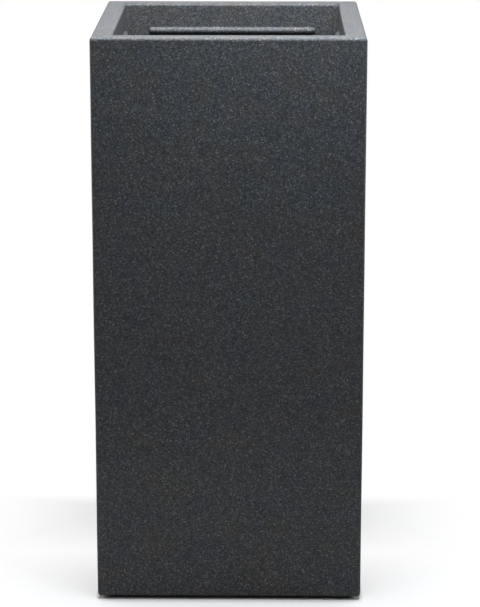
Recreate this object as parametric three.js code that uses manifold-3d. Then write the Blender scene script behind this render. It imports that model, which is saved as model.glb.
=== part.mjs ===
// Tall square floor planter in moulded fibreglass. Millimetres, +Z up, front towards -Y.
// The origin is the centre of the footprint, on the floor that the feet stand on.
import * as THREE from 'three';
import { mergeVertices } from 'three/addons/utils/BufferGeometryUtils.js';
import Module from 'manifold-3d';

const wasm = await Module();
wasm.setup();

// ---- Driving dimensions: the whole planter ----
const planterWidth = 330;
const planterDepth = 330;
const planterHeight = 711;
const floorGap = 4; // the shell's foot stands this far off the floor, on the feet

// ---- Driving dimensions: the moulded shell ----
const wallThickness = 5;
const edgeRadius = 4; // vertical outer edges
const wallCornerRadius = 3; // vertical corners on the walls' hidden side
const footEdgeRadius = 2.5;
const rimWidth = 25.5;
const rimThickness = 5;
const rimEdgeRadius = 4.5; // both long edges of the rim's top
const mouthCornerRadius = 5.5;
const skirtThickness = 5;
const skirtBelowRail = 20;

// ---- Driving dimensions: rails, battens and clearances ----
const railDrop = 32; // from the rim's top down to a rail's top
const railHeight = 8.6;
const railReach = 4.3; // how far a rail stands off the skirt
const railEndGap = 30; // from a rail's end to the corner of the mouth
const battenRecess = 10; // from a batten's underside to the skirt's lower edge
const bondGap = 0.3; // adhesive line between bonded pieces
const seatGap = 0.3; // between a piece and what it rests on

// ---- Driving dimensions: base, feet and drain ----
const baseRecess = 10; // from the shell's foot up to the base's underside
const baseThickness = 5;
const baseFlangeHeight = 30;
const baseFlangeThickness = 4;
const baseFilletRadius = 6;
const bossRadius = 8;
const bossCap = 4; // solid material above a screw's pilot hole
const footRadius = 20;
const footTaper = 2;
const footEdgeRound = 1.5;
const footCornerGap = 6; // from a foot to the base's flange
const footBore = 2.8;
const screwPocketRadius = 6;
const screwPocketDepth = 6.5;
const screwHeadRadius = 4.7;
const screwHeadHeight = 3;
const screwHeadRound = 1.4;
const screwShankRadius = 2.4;
const screwBite = 11; // how far a screw goes up into the base
const screwTipGap = 1;
const screwSlotWidth = 1.1;
const screwSlotLength = 5.4;
const screwSlotDepth = 1.6;
const pilotGap = 0.1;
const drainRadius = 13; // the clear bore of the drain
const grommetWall = 2.7;
const grommetFlangeReach = 5;
const grommetFlangeThickness = 2.2;
const plugGap = 0.3;
const plugDepth = 10;
const plugTaper = 1;
const plugCapReach = 4;
const plugCapThickness = 3;
const plugNeckRadius = 4;
const plugNeckHeight = 9;
const plugKnobRadius = 8;
const plugKnobHeight = 6;

// ---- Driving dimensions: the lift-out shelf and its brackets ----
const shelfDrop = 290; // from the rim's top down to the shelf's top
const shelfPassGap = 2.2; // to the rails, as the shelf is lifted past them
const shelfThickness = 6;
const shelfEdgeRadius = 2;
const shelfCornerRadius = 10;
const shelfLipDepth = 20;
const shelfLipThickness = 5;
const fingerSlotLength = 84;
const fingerSlotWidth = 26;
const fingerSlotMargin = 14; // from a slot to the shelf's lip
const shelfHoleRadius = 5;
const shelfHolePitch = 42;
const shelfHoleRows = 4;
const bracketBearing = 26; // how far a bracket reaches in under the shelf's corner
const bracketThickness = 5;
const bracketFlangeHeight = 30;
const bracketFlangeThickness = 4;

// ---- Fineness of the round stretches ----
const cornerSteps = 5;
const edgeSteps = 4;
const roundSteps = 32;

// ---- Sizes that follow from the ones above ----
const mouthWidth = planterWidth - 2 * rimWidth;
const mouthDepth = planterDepth - 2 * rimWidth;
const skirtDepth = railDrop + railHeight + skirtBelowRail;
const baseUnderside = floorGap + baseRecess;
const baseTop = baseUnderside + baseThickness;
const baseWidth = planterWidth - 2 * (wallThickness + bondGap);
const baseDepth = planterDepth - 2 * (wallThickness + bondGap);
const footInset = wallThickness + bondGap + baseFlangeThickness + footCornerGap + footRadius;
const grommetHoleRadius = drainRadius + grommetWall + bondGap;
const shelfWidth = mouthWidth - 2 * (railReach + bondGap + shelfPassGap);
const shelfDepth = mouthDepth - 2 * (railReach + bondGap + shelfPassGap);
const shelfTop = planterHeight - shelfDrop;
const bracketTop = shelfTop - shelfThickness - shelfLipDepth - seatGap;

// The four sides: the turn that brings the front to that side, and the distances there.
const sides = [
  { name: 'front', turn: 0, reach: planterDepth / 2, run: planterWidth },
  { name: 'right', turn: Math.PI / 2, reach: planterWidth / 2, run: planterDepth },
  { name: 'back', turn: Math.PI, reach: planterDepth / 2, run: planterWidth },
  { name: 'left', turn: -Math.PI / 2, reach: planterWidth / 2, run: planterDepth },
];

// The four corners: the turn that brings the front left corner there, and its signs.
const corners = [
  { name: 'front_left', turn: 0, x: -1, y: -1 },
  { name: 'front_right', turn: Math.PI / 2, x: 1, y: -1 },
  { name: 'back_right', turn: Math.PI, x: 1, y: 1 },
  { name: 'back_left', turn: -Math.PI / 2, x: -1, y: 1 },
];

// ---- Helpers: booleans ----

function toSolid(geometry) {
  const bare = geometry.clone();
  bare.deleteAttribute('normal');
  bare.deleteAttribute('uv');
  const merged = mergeVertices(bare);
  const vertProperties = new Float32Array(merged.attributes.position.array);
  const triVerts = new Uint32Array(merged.index.array);
  return new wasm.Manifold(new wasm.Mesh({ numProp: 3, vertProperties, triVerts }));
}

function toGeometry(solid) {
  const { vertProperties, triVerts } = solid.getMesh();
  const geometry = new THREE.BufferGeometry();
  geometry.setAttribute('position', new THREE.BufferAttribute(vertProperties, 3));
  geometry.setIndex(new THREE.BufferAttribute(triVerts, 1));
  geometry.computeVertexNormals();
  return geometry;
}

function joined(first, ...others) {
  return toGeometry(others.reduce((sum, next) => sum.add(toSolid(next)), toSolid(first)));
}

function cutBy(first, ...tools) {
  return toGeometry(tools.reduce((rest, tool) => rest.subtract(toSolid(tool)), toSolid(first)));
}

// ---- Helpers: lofts through rounded rectangles ----

// A ring is a rounded rectangle at one height, counter-clockwise seen from above.
function roundedRing({ width, depth, radius, z }) {
  const points = [];
  for (let corner = 0; corner < 4; corner += 1) {
    const signX = corner === 0 || corner === 3 ? 1 : -1;
    const signY = corner < 2 ? 1 : -1;
    const centreX = signX * (width / 2 - radius);
    const centreY = signY * (depth / 2 - radius);
    for (let step = 0; step <= cornerSteps; step += 1) {
      const angle = ((corner + step / cornerSteps) * Math.PI) / 2;
      const x = centreX + radius * Math.cos(angle);
      const y = centreY + radius * Math.sin(angle);
      points.push(new THREE.Vector3(x, y, z));
    }
  }
  return points;
}

// Rings join in order. The path runs up an outer side and down an inner one, so that
// every face points out. It either closes on itself or ends in two flat caps.
function loft(rings, closesOnItself) {
  const count = rings[0].length;
  const positions = rings.flat().flatMap((point) => point.toArray());
  const faces = [];
  const bands = closesOnItself ? rings.length : rings.length - 1;
  for (let band = 0; band < bands; band += 1) {
    const low = band * count;
    const high = ((band + 1) % rings.length) * count;
    for (let side = 0; side < count; side += 1) {
      const next = (side + 1) % count;
      faces.push(low + side, low + next, high + next);
      faces.push(low + side, high + next, high + side);
    }
  }
  if (!closesOnItself) {
    const last = (rings.length - 1) * count;
    for (let side = 1; side < count - 1; side += 1) {
      faces.push(0, side + 1, side);
      faces.push(last, last + side, last + side + 1);
    }
  }
  const geometry = new THREE.BufferGeometry();
  geometry.setAttribute('position', new THREE.Float32BufferAttribute(positions, 3));
  geometry.setIndex(faces);
  geometry.computeVertexNormals();
  return geometry;
}

// Points on a quarter circle from one angle to another, as [across, up] pairs.
function quarterArc(centreAcross, centreUp, radius, fromDegrees, toDegrees) {
  const points = [];
  for (let step = 0; step <= edgeSteps; step += 1) {
    const angle = THREE.MathUtils.degToRad(
      fromDegrees + ((toDegrees - fromDegrees) * step) / edgeSteps,
    );
    points.push([centreAcross + radius * Math.cos(angle), centreUp + radius * Math.sin(angle)]);
  }
  return points;
}

// ---- Helpers: round pieces ----

// A turned piece from [radius, height] pairs, standing on the Z axis.
function turned(profile) {
  const points = profile.map(([radius, height]) => new THREE.Vector2(radius, height));
  return new THREE.LatheGeometry(points, roundSteps).rotateX(Math.PI / 2);
}

function uprightCylinder(radius, bottom, top, x = 0, y = 0, steps = roundSteps) {
  const cylinder = new THREE.CylinderGeometry(radius, radius, top - bottom, steps);
  return cylinder.rotateX(Math.PI / 2).translate(x, y, (bottom + top) / 2);
}

// ---- Materials ----

function finish(color, roughness, metalness = 0) {
  return new THREE.MeshStandardMaterial({ color, roughness, metalness });
}

const speckledGelcoat = () => finish(0x3c3f43, 0.5);
const bareLaminate = () => finish(0x4a4c4c, 0.75);
const paintedTimber = () => finish(0x8a7350, 0.8);
const mouldedPolypropylene = () => finish(0x2b2d2f, 0.6);
const blackRubber = () => finish(0x17181a, 0.85);
const stainlessSteel = () => finish(0xb9bcc0, 0.35, 1);

// ---- The sub-parts ----

const planter = new THREE.Group();

function addPiece(name, geometry, material) {
  const mesh = new THREE.Mesh(geometry, material);
  mesh.name = name;
  planter.add(mesh);
  return mesh;
}

// One moulding: four walls, the flat rim turned inwards, and the skirt that hangs from it.
function shellGeometry() {
  const rimTop = planterHeight;
  const ringAt = ([inset, z], radius) => roundedRing({
    width: planterWidth - 2 * inset,
    depth: planterDepth - 2 * inset,
    radius,
    z,
  });
  const outerRadiusAt = (inset) => Math.max(edgeRadius - inset, edgeRadius / 8);
  const mouthRadiusAt = (inset) => mouthCornerRadius + rimWidth - inset;
  const foot = quarterArc(footEdgeRadius, floorGap + footEdgeRadius, footEdgeRadius, 270, 180);
  const outerEdge = quarterArc(rimEdgeRadius, rimTop - rimEdgeRadius, rimEdgeRadius, 180, 90);
  const mouthEdge = quarterArc(rimWidth - rimEdgeRadius, rimTop - rimEdgeRadius, rimEdgeRadius, 90, 0);
  const skirtEdge = [
    [rimWidth, rimTop - skirtDepth],
    [rimWidth - skirtThickness, rimTop - skirtDepth],
    [rimWidth - skirtThickness, rimTop - rimThickness],
  ];
  const hiddenSide = [
    [wallThickness, rimTop - rimThickness],
    [wallThickness, floorGap],
  ];
  return loft([
    ...[...foot, ...outerEdge].map((point) => ringAt(point, outerRadiusAt(point[0]))),
    ...[...mouthEdge, ...skirtEdge].map((point) => ringAt(point, mouthRadiusAt(point[0]))),
    ...hiddenSide.map((point) => ringAt(point, wallCornerRadius)),
  ], true);
}

// A half-round bar with round ends, bonded flat side down to the skirt's inner face.
function railGeometry(length) {
  const radius = railHeight / 2;
  const bar = new THREE.CapsuleGeometry(radius, length - railHeight, 6, 24);
  bar.rotateZ(Math.PI / 2).scale(1, railReach / radius, 1);
  const backHalf = new THREE.BoxGeometry(2 * length, 2 * railHeight + 2 * railReach, 2 * railHeight);
  backHalf.translate(0, -(railHeight + railReach), 0);
  return cutBy(bar, backHalf);
}

function addRails() {
  for (const side of sides) {
    const length = side.run - 2 * (rimWidth + railEndGap);
    const rail = addPiece(`rail_${side.name}`, railGeometry(length), speckledGelcoat());
    rail.rotation.z = side.turn;
    rail.position.set(0, -(side.reach - rimWidth - bondGap), 0);
    rail.position.applyAxisAngle(new THREE.Vector3(0, 0, 1), side.turn);
    rail.position.z = planterHeight - railDrop - railHeight / 2;
  }
}

// Timber strips bonded up into the fold between wall and skirt, which keep the rim straight.
function addBattens() {
  const width = rimWidth - wallThickness - skirtThickness - 2 * bondGap;
  const height = skirtDepth - rimThickness - bondGap - battenRecess;
  const inset = wallThickness + bondGap + width / 2;
  for (const side of sides) {
    const runsFullWidth = side.name === 'front' || side.name === 'back';
    const endInset = wallThickness + bondGap + (runsFullWidth ? wallCornerRadius : width + bondGap);
    const strip = new THREE.BoxGeometry(side.run - 2 * endInset, width, height);
    const batten = addPiece(`rim_batten_${side.name}`, strip, paintedTimber());
    batten.rotation.z = side.turn;
    batten.position.set(0, -(side.reach - inset), 0);
    batten.position.applyAxisAngle(new THREE.Vector3(0, 0, 1), side.turn);
    batten.position.z = planterHeight - rimThickness - bondGap - height / 2;
  }
}

// The four places on the base where a foot is screwed on.
function footPlaces() {
  return corners.map(({ name, x, y }) => ({
    name,
    x: x * (planterWidth / 2 - footInset),
    y: y * (planterDepth / 2 - footInset),
  }));
}

// A tray with its edge turned up, bonded inside the walls. It has a boss over each foot.
function baseGeometry() {
  const flangeTop = baseUnderside + baseFlangeHeight;
  const outerRadius = wallCornerRadius - bondGap;
  const innerRadius = outerRadius + baseFilletRadius;
  const ringAt = (inset, z, radius) => roundedRing({
    width: baseWidth - 2 * inset,
    depth: baseDepth - 2 * inset,
    radius,
    z,
  });
  const fillet = quarterArc(
    baseFlangeThickness + baseFilletRadius,
    baseTop + baseFilletRadius,
    baseFilletRadius,
    180,
    270,
  );
  const tray = loft([
    ringAt(0, baseUnderside, outerRadius),
    ringAt(0, flangeTop, outerRadius),
    ringAt(baseFlangeThickness, flangeTop, innerRadius),
    ...fillet.map(([inset, z]) => ringAt(inset, z, innerRadius)),
  ], false);
  const bossTop = baseUnderside + screwBite + screwTipGap + bossCap;
  const pilotTop = baseUnderside + screwBite + screwTipGap;
  const pilotRadius = screwShankRadius + pilotGap;
  const bosses = footPlaces().map(({ x, y }) => (
    uprightCylinder(bossRadius, baseUnderside + baseThickness / 2, bossTop, x, y)
  ));
  const pilots = footPlaces().map(({ x, y }) => (
    uprightCylinder(pilotRadius, baseUnderside - baseThickness, pilotTop, x, y)
  ));
  const drainHole = uprightCylinder(grommetHoleRadius, 0, flangeTop);
  return cutBy(joined(tray, ...bosses), drainHole, ...pilots);
}

// A tapered rubber foot with a pocket in its sole for the screw's head.
function footGeometry() {
  const height = baseUnderside - seatGap;
  const soleRadius = footRadius - footTaper;
  const soleEdge = quarterArc(soleRadius - footEdgeRound, footEdgeRound, footEdgeRound, 270, 360);
  return turned([
    [screwPocketRadius, 0],
    ...soleEdge,
    [footRadius, height],
    [footBore, height],
    [footBore, screwPocketDepth],
    [screwPocketRadius, screwPocketDepth],
    [screwPocketRadius, 0],
  ]);
}

function addFeet() {
  for (const place of footPlaces()) {
    const foot = addPiece(`foot_${place.name}`, footGeometry(), blackRubber());
    foot.position.set(place.x, place.y, 0);
  }
}

// A pan-head screw with a cross slot, which goes up through a foot into its boss.
function footScrewGeometry() {
  const headTop = screwPocketDepth - seatGap;
  const headBottom = headTop - screwHeadHeight;
  const tip = baseUnderside + screwBite;
  const blank = turned([
    [0, headBottom],
    [screwHeadRadius - screwHeadRound, headBottom],
    [screwHeadRadius, headBottom + screwHeadRound],
    [screwHeadRadius, headTop],
    [screwShankRadius, headTop],
    [screwShankRadius, tip - screwShankRadius],
    [0, tip],
  ]);
  const slotTool = new THREE.BoxGeometry(screwSlotLength, screwSlotWidth, 2 * screwSlotDepth);
  slotTool.translate(0, 0, headBottom);
  return cutBy(blank, slotTool, slotTool.clone().rotateZ(Math.PI / 2));
}

function addFootScrews() {
  for (const place of footPlaces()) {
    const screw = addPiece(`foot_screw_${place.name}`, footScrewGeometry(), stainlessSteel());
    screw.position.set(place.x, place.y, 0);
  }
}

// A flanged sleeve that lines the base's drain hole and seals its cut edge.
function grommetGeometry() {
  const sleeveRadius = drainRadius + grommetWall;
  const flangeRadius = grommetHoleRadius + grommetFlangeReach;
  const lowFlangeTop = baseUnderside - seatGap;
  const highFlangeBottom = baseTop + seatGap;
  return turned([
    [drainRadius, lowFlangeTop - grommetFlangeThickness],
    [flangeRadius, lowFlangeTop - grommetFlangeThickness],
    [flangeRadius, lowFlangeTop],
    [sleeveRadius, lowFlangeTop],
    [sleeveRadius, highFlangeBottom],
    [flangeRadius, highFlangeBottom],
    [flangeRadius, highFlangeBottom + grommetFlangeThickness],
    [drainRadius, highFlangeBottom + grommetFlangeThickness],
    [drainRadius, lowFlangeTop - grommetFlangeThickness],
  ]);
}

// A tapered rubber plug with a cap that seats on the sleeve and a knob to pull it by.
function plugGeometry() {
  const capBottom = baseTop + seatGap + grommetFlangeThickness + seatGap;
  const capTop = capBottom + plugCapThickness;
  const knobBottom = capTop + plugNeckHeight;
  const stemRadius = drainRadius - plugGap;
  return turned([
    [0, capBottom - plugDepth],
    [stemRadius - plugTaper, capBottom - plugDepth],
    [stemRadius, capBottom],
    [drainRadius + plugCapReach, capBottom],
    [drainRadius + plugCapReach, capTop],
    [plugNeckRadius, capTop],
    [plugNeckRadius, knobBottom],
    [plugKnobRadius, knobBottom],
    ...quarterArc(plugKnobRadius - plugKnobHeight / 2, knobBottom + plugKnobHeight / 2,
      plugKnobHeight / 2, 0, 90),
    [0, knobBottom + plugKnobHeight],
  ]);
}

// A slot with round ends, cut right through the shelf, long side along Y.
function fingerSlot(x) {
  const radius = fingerSlotWidth / 2;
  const straight = (fingerSlotLength - fingerSlotWidth) / 2;
  const outline = new THREE.Shape();
  outline.absarc(0, straight, radius, 0, Math.PI, false);
  outline.absarc(0, -straight, radius, Math.PI, 2 * Math.PI, false);
  const tool = new THREE.ExtrudeGeometry(outline, {
    depth: 3 * shelfThickness,
    bevelEnabled: false,
    curveSegments: roundSteps / 4,
  });
  return tool.translate(x, 0, shelfTop - 2 * shelfThickness);
}

function shelfHoles() {
  const holes = [];
  const first = (-(shelfHoleRows - 1) * shelfHolePitch) / 2;
  for (let row = 0; row < shelfHoleRows; row += 1) {
    for (let column = 0; column < shelfHoleRows; column += 1) {
      const x = first + column * shelfHolePitch;
      const y = first + row * shelfHolePitch;
      holes.push(uprightCylinder(
        shelfHoleRadius, shelfTop - 2 * shelfThickness, shelfTop + shelfThickness, x, y, roundSteps / 2,
      ));
    }
  }
  return holes;
}

// A lift-out false floor: a plate with its edge turned down, two finger slots and drain holes.
function shelfGeometry() {
  const plateBottom = shelfTop - shelfThickness;
  const lipBottom = plateBottom - shelfLipDepth;
  const ringAt = (inset, z) => roundedRing({
    width: shelfWidth - 2 * inset,
    depth: shelfDepth - 2 * inset,
    radius: shelfCornerRadius - inset,
    z,
  });
  const topEdge = quarterArc(shelfEdgeRadius, shelfTop - shelfEdgeRadius, shelfEdgeRadius, 180, 90);
  const plate = loft([
    ringAt(shelfLipThickness, plateBottom),
    ringAt(shelfLipThickness, lipBottom),
    ringAt(0, lipBottom),
    ...topEdge.map(([inset, z]) => ringAt(inset, z)),
  ], false);
  const slotX = shelfWidth / 2 - shelfLipThickness - fingerSlotMargin - fingerSlotWidth / 2;
  return cutBy(plate, fingerSlot(slotX), fingerSlot(-slotX), ...shelfHoles());
}

// A corner gusset with two flanges down the walls, bonded in to carry the shelf's corner.
function bracketGeometry() {
  const wallToShelf = (baseWidth - shelfWidth) / 2;
  const cornerCut = (2 - Math.SQRT2) * shelfCornerRadius;
  const leg = 2 * wallToShelf + cornerCut + Math.SQRT2 * bracketBearing;
  const radius = wallCornerRadius - bondGap;
  const tip = bracketFlangeThickness;
  const gusset = new THREE.Shape();
  gusset.absarc(radius, radius, radius, Math.PI, 1.5 * Math.PI, false);
  gusset.lineTo(leg, 0);
  gusset.lineTo(leg, tip);
  gusset.lineTo(tip, leg);
  gusset.lineTo(0, leg);
  const angle = new THREE.Shape();
  angle.absarc(radius, radius, radius, Math.PI, 1.5 * Math.PI, false);
  angle.lineTo(leg, 0);
  angle.lineTo(leg, tip);
  angle.lineTo(tip, tip);
  angle.lineTo(tip, leg);
  angle.lineTo(0, leg);
  const options = { bevelEnabled: false, curveSegments: cornerSteps };
  const plate = new THREE.ExtrudeGeometry(gusset, { depth: bracketThickness, ...options });
  const flanges = new THREE.ExtrudeGeometry(angle, { depth: bracketFlangeHeight, ...options });
  plate.translate(0, 0, bracketTop - bracketThickness);
  flanges.translate(0, 0, bracketTop - bracketFlangeHeight);
  return joined(plate, flanges);
}

function addBrackets() {
  for (const corner of corners) {
    const name = `shelf_bracket_${corner.name}`;
    const bracket = addPiece(name, bracketGeometry(), bareLaminate());
    bracket.rotation.z = corner.turn;
    bracket.position.set((corner.x * baseWidth) / 2, (corner.y * baseDepth) / 2, 0);
  }
}

// ---- The assembly, from the shell inwards ----

addPiece('planter_shell', shellGeometry(), speckledGelcoat());
addRails();
addBattens();
addPiece('base_panel', baseGeometry(), bareLaminate());
addFeet();
addFootScrews();
addPiece('drain_grommet', grommetGeometry(), blackRubber());
addPiece('drain_plug', plugGeometry(), blackRubber());
addBrackets();
addPiece('planting_shelf', shelfGeometry(), mouldedPolypropylene());

export default planter;
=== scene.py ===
"""A tall square floor planter in charcoal fibreglass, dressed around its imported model.

Lengths are metres, +Z is up and the front looks towards -Y. Each section makes one piece, or one
group of like pieces, in the order in which the planter is put together.
"""

import math

import bmesh
import bpy
from mathutils import Matrix, Vector, noise


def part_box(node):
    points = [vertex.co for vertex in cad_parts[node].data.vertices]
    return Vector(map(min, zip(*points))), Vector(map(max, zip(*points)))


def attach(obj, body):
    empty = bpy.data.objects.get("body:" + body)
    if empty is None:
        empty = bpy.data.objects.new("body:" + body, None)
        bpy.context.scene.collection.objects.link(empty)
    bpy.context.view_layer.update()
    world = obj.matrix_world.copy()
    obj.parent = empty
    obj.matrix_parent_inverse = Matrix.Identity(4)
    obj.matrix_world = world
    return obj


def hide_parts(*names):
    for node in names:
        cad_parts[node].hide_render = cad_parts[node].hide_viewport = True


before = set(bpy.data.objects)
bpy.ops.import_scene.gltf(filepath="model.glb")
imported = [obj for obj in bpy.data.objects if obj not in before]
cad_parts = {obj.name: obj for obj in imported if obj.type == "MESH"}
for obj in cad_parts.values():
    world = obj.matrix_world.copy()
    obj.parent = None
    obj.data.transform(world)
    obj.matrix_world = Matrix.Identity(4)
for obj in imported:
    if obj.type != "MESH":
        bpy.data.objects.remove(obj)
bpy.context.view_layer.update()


# ---- Planter shell ----
# One hand-laid moulding of chopped glass mat and polyester resin, gelcoat side out: four walls, a rim
# turned inwards and a skirt that hangs from the rim. Laid in a mould by hand, its flats are never
# quite true, and the stone-effect gelcoat is sprayed with mineral granules, so it is speckled and satin.

MM = 0.001
shell_low, shell_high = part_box("planter_shell")
shell_width = shell_high.x - shell_low.x
shell_depth = shell_high.y - shell_low.y
shell_foot = shell_low.z
rim_top = shell_high.z
wall_thickness = 5 * MM
wall_edge_radius = 4 * MM
wall_least_radius = 0.5 * MM  # where the edge curls in at the foot and rim
wall_hidden_radius = 3 * MM
foot_edge_radius = 4.5 * MM
rim_width = 25.5 * MM
rim_thickness = 5 * MM
rim_edge_radius = 4.5 * MM
mouth_corner_radius = 5.5 * MM
skirt_thickness = 5 * MM
skirt_drop = 60.6 * MM
wall_row_spacing = 14 * MM
waviness_depth = 0.22 * MM
waviness_length = 150 * MM
sharp_fold = math.radians(35)


def rounded_ring(width, depth, radius, height, corner_steps=8, side_steps=22):
    """Points round a rectangle with round corners, anticlockwise seen from above."""
    corners = []
    for turn in range(4):
        side_x = 1 if turn in (0, 3) else -1
        side_y = 1 if turn in (0, 1) else -1
        centre = Vector((side_x * (width / 2 - radius), side_y * (depth / 2 - radius), height))
        arc = []
        for step in range(corner_steps + 1):
            angle = (turn + step / corner_steps) * math.pi / 2
            arc.append(centre + radius * Vector((math.cos(angle), math.sin(angle), 0)))
        corners.append(arc)
    points = []
    for turn, arc in enumerate(corners):
        next_start = corners[(turn + 1) % 4][0]
        points.extend(arc)
        points.extend(arc[-1].lerp(next_start, step / side_steps) for step in range(1, side_steps))
    return points


def arc_points(centre_across, centre_up, radius, start, end, steps=8):
    """[across, up] pairs on an arc from one angle to another, in degrees."""
    angles = [math.radians(start + (end - start) * step / steps) for step in range(steps + 1)]
    return [
        (centre_across + radius * math.cos(angle), centre_up + radius * math.sin(angle))
        for angle in angles
    ]


def loft(rings, closes_on_itself=False):
    """A closed surface through rings of points, up the outer side and down the inner one."""
    shape = bmesh.new()
    rows = [[shape.verts.new(point) for point in ring] for ring in rings]
    bands = list(zip(rows, rows[1:]))
    if closes_on_itself:
        bands.append((rows[-1], rows[0]))
    for low, high in bands:
        for here in range(len(low)):
            there = (here + 1) % len(low)
            shape.faces.new((low[here], low[there], high[there], high[here]))
    if not closes_on_itself:
        shape.faces.new(list(reversed(rows[0])))
        shape.faces.new(rows[-1])
    shape.normal_update()
    return shape


def mesh_of(name, shape):
    """The plain mesh of a bmesh, which is used up."""
    mesh = bpy.data.meshes.new(name)
    shape.to_mesh(mesh)
    shape.free()
    return mesh


def put_in_scene(name, data):
    """An object in the scene for a mesh, a lamp or a camera."""
    holder = bpy.data.objects.new(name, data)
    bpy.context.scene.collection.objects.link(holder)
    return holder


def make_piece(name, shape, *materials):
    """Turns a bmesh into an object at the origin, smooth except where faces meet at a sharp fold."""
    mesh = mesh_of(name, shape)
    for material in materials:
        mesh.materials.append(material)
    mesh.polygons.foreach_set("use_smooth", [True] * len(mesh.polygons))
    mesh.set_sharp_from_angle(angle=sharp_fold)
    piece = put_in_scene(name, mesh)
    piece.modifiers.new("true_flats", "WEIGHTED_NORMAL").keep_sharp = True
    return piece


def linear(hex_colour):
    """An sRGB hex colour as the linear RGBA that a colour socket takes."""
    channels = []
    for start in (0, 2, 4):
        value = int(hex_colour[start:start + 2], 16) / 255
        channels.append(value / 12.92 if value <= 0.04045 else ((value + 0.055) / 1.055) ** 2.4)
    return (*channels, 1.0)


def feed(tree, node, feeds):
    """Gives a node's inputs values, or the outputs that feed them: a node stands for its first one."""
    for socket, value in feeds.items():
        if isinstance(value, bpy.types.Node):
            value = value.outputs[0]
        if isinstance(value, bpy.types.NodeSocket):
            tree.links.new(value, node.inputs[socket])
        else:
            node.inputs[socket].default_value = value


def add(tree, kind, feeds=None, **settings):
    """Adds a node: settings are its properties, and feeds its inputs' values and links."""
    node = tree.nodes.new(kind)
    for name, value in settings.items():
        setattr(node, name, value)
    feed(tree, node, feeds or {})
    return node


def start_material(name):
    """A new material with its node tree, its surface shader and the object's own coordinates."""
    material = bpy.data.materials.new(name)
    material.use_nodes = True
    tree = material.node_tree
    surface = tree.nodes["Principled BSDF"]
    place = add(tree, "ShaderNodeTexCoord").outputs["Object"]
    return material, tree, surface, place


def stone_effect_gelcoat():
    """Stone-effect gelcoat: charcoal resin full of fine mineral granules, cured against a waxed mould.

    It reads as a satin near-black with a dense salt-and-pepper grain and faint clouds of tint.
    """
    material, tree, surface, place = start_material("stone_effect_gelcoat")
    cloud_size = 30 * MM
    granule_size = 1.35 * MM  # real granules are about 1 mm, drawn as coarse as the render needs
    grit_size = 1.5 * MM
    clouds = add(tree, "ShaderNodeTexNoise", {"Vector": place, "Scale": 1 / cloud_size, "Detail": 2.0})
    # Each Voronoi cell is a granule, and its random values say how dark, pale or bright it is.
    granules = add(tree, "ShaderNodeTexVoronoi", {"Vector": place, "Scale": 1 / granule_size})
    chance = add(tree, "ShaderNodeSeparateColor", {"Color": granules.outputs["Color"]}).outputs
    # For each tint: what shows it, the values between which it comes in, its full share and its colour.
    tints = (
        (clouds, 0.5, 0.68, 1.0, "333130"),
        (clouds, 0.5, 0.34, 1.0, "2e3034"),
        (chance[0], 0.45, 0.0, 0.6, "17191b"),
        (chance[0], 0.55, 1.0, 0.45, "53575a"),
        (chance[1], 0.9, 1.0, 0.4, "797d80"),
    )
    colour = linear("303132")
    for shown_by, start, end, full_share, tint in tints:
        share = add(tree, "ShaderNodeMapRange", {0: shown_by, 1: start, 2: end, 4: full_share})
        colour = add(
            tree, "ShaderNodeMix", {0: share, 6: colour, 7: linear(tint)}, data_type="RGBA",
        ).outputs[2]
    grit = add(tree, "ShaderNodeTexNoise", {"Vector": place, "Scale": 1 / grit_size, "Detail": 2.0})
    feed(tree, surface, {
        "Base Color": colour,
        "Roughness": add(tree, "ShaderNodeMapRange", {0: grit, 3: 0.42, 4: 0.55}),
        "Normal": add(tree, "ShaderNodeBump", {"Height": grit, "Strength": 0.08, "Distance": 0.1 * MM}),
        "IOR": 1.5,
        "Specular IOR Level": 0.12,
    })
    return material


def chopped_mat_laminate():
    """Chopped strand mat under a brushed flow coat: the rough side of a hand-laid moulding.

    The strands show as crossing lines in a mid grey on a darker one, with a dull sheen.
    """
    material, tree, surface, place = start_material("chopped_mat_laminate")
    strand_width = 2.8 * MM  # real strands are about 1 mm wide, drawn as coarse as the render needs
    strand_length = 40 * MM
    strand_turns = (12, 68, 127, 163)
    per_strand = (1 / strand_length, 1 / strand_width, 1 / strand_width)
    strands = 0.0
    for turn in strand_turns:
        laid = add(tree, "ShaderNodeMapping", {"Vector": place, "Rotation": [math.radians(turn)] * 3})
        drawn_out = add(tree, "ShaderNodeVectorMath", {0: laid, 1: per_strand}, operation="MULTIPLY")
        lines = add(tree, "ShaderNodeTexNoise", {"Vector": drawn_out, "Scale": 1.0})
        strands = add(tree, "ShaderNodeMath", {0: strands, 1: lines}, operation="MAXIMUM")
    shown = add(tree, "ShaderNodeMapRange", {0: strands, 1: 0.54, 2: 0.7})
    colour = add(
        tree, "ShaderNodeMix", {0: shown, 6: linear("353737"), 7: linear("606261")}, data_type="RGBA",
    )
    feed(tree, surface, {
        "Base Color": colour.outputs[2],
        "Normal": add(tree, "ShaderNodeBump", {"Height": shown, "Strength": 0.6, "Distance": 0.5 * MM}),
        "Roughness": 0.5,
        "IOR": 1.52,
        "Specular IOR Level": 0.2,
    })
    return material


def shell_ring(inset, height, radius):
    return rounded_ring(shell_width - 2 * inset, shell_depth - 2 * inset, radius, height)


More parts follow.
